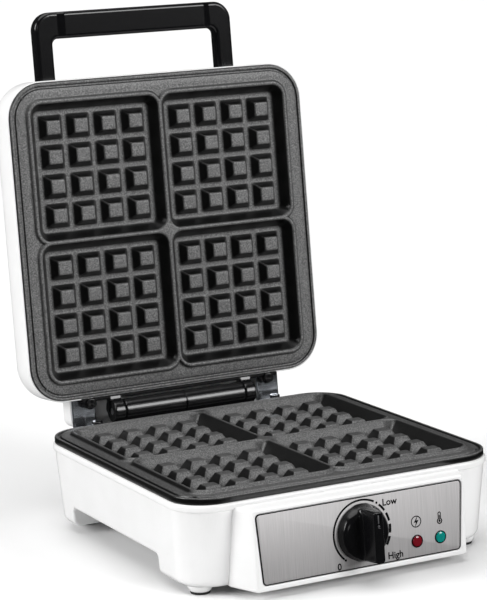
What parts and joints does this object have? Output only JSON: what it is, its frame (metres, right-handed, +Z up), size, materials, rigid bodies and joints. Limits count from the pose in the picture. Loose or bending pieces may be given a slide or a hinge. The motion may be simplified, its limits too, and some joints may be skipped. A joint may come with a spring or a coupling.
{
  "type": "waffle maker",
  "caption": "Countertop waffle maker, open: square hinged grid plates in white housings, U handle on the lid, steel front panel with a dial and indicator lamps.",
  "frame": {"origin": "centre of the open appliance's footprint, on the surface it stands on", "axes": "+X to the right of a person facing the dial, +Y towards the hinge and lid, +Z up"},
  "size_m": [0.263, 0.3883, 0.3976],
  "materials": {
    "housing_white": "satin white moulded plastic with a faint fine grain",
    "plate_coating": "cast aluminium under a black speckled non-stick coating",
    "brushed_panel": "stainless sheet brushed upright",
    "black_gloss": "glossy black moulded plastic",
    "black_hinge": "satin black moulded plastic",
    "dark_steel": "dark plated steel strip",
    "plated_steel": "zinc plated steel",
    "tray_metal": "bare pressed aluminium sheet",
    "foot_rubber": "matt black rubber",
    "lens_red": "clear red moulded lens",
    "lens_green": "clear green moulded lens",
    "pointer_white": "pale grey moulded insert",
    "insulator": "off-white insulating moulding",
    "wire_sleeve": "brick red heat-resistant sleeving"
  },
  "bodies": {
    "base": {"base_housing": "housing_white", "bottom_cover": "housing_white", "bottom_screws": "plated_steel", "foot_cups": "housing_white", "rubber_feet": "foot_rubber", "front_panel": "brushed_panel", "power_lens": "lens_red", "ready_lens": "lens_green", "lamp_bodies": "insulator", "thermostat_body": "plated_steel", "thermostat_nut": "plated_steel", "lower_plate": "plate_coating", "lower_element": "plated_steel", "lower_element_clips": "plated_steel", "lower_reflector": "tray_metal", "lower_plate_screws": "plated_steel", "terminal_block": "insulator", "thermal_fuse": "insulator", "internal_wires": "wire_sleeve", "cable_gland": "black_hinge", "hinge_bearing_left": "black_hinge", "hinge_bearing_right": "black_hinge", "hinge_rod": "plated_steel", "base_hinge_screws": "dark_steel", "ledge_screws": "plated_steel"},
    "lid": {"lid_housing": "housing_white", "hinge_yoke": "black_hinge", "stop_bracket_left": "dark_steel", "stop_bracket_right": "dark_steel", "lid_hinge_screws": "dark_steel", "upper_plate": "plate_coating", "upper_element": "plated_steel", "upper_element_clips": "plated_steel", "upper_reflector": "tray_metal", "upper_plate_screws": "plated_steel", "handle": "black_gloss", "handle_screws": "plated_steel"},
    "knob": {"knob": "black_gloss", "knob_pointer": "pointer_white", "thermostat_shaft": "plated_steel"}
  },
  "joints": [
    {"name": "lid_hinge", "type": "hinge", "parent": "base", "child": "lid", "pos_m": [0, 0.11868, 0.07889], "axis": [1, 0, 0], "range_deg": [0, 95.35]},
    {"name": "knob_turn", "type": "hinge", "parent": "base", "child": "knob", "pos_m": [0, -0.1679, 0.0363], "axis": [0, -0.9976, 0.0698], "range_deg": [-123, 141]}
  ]
}
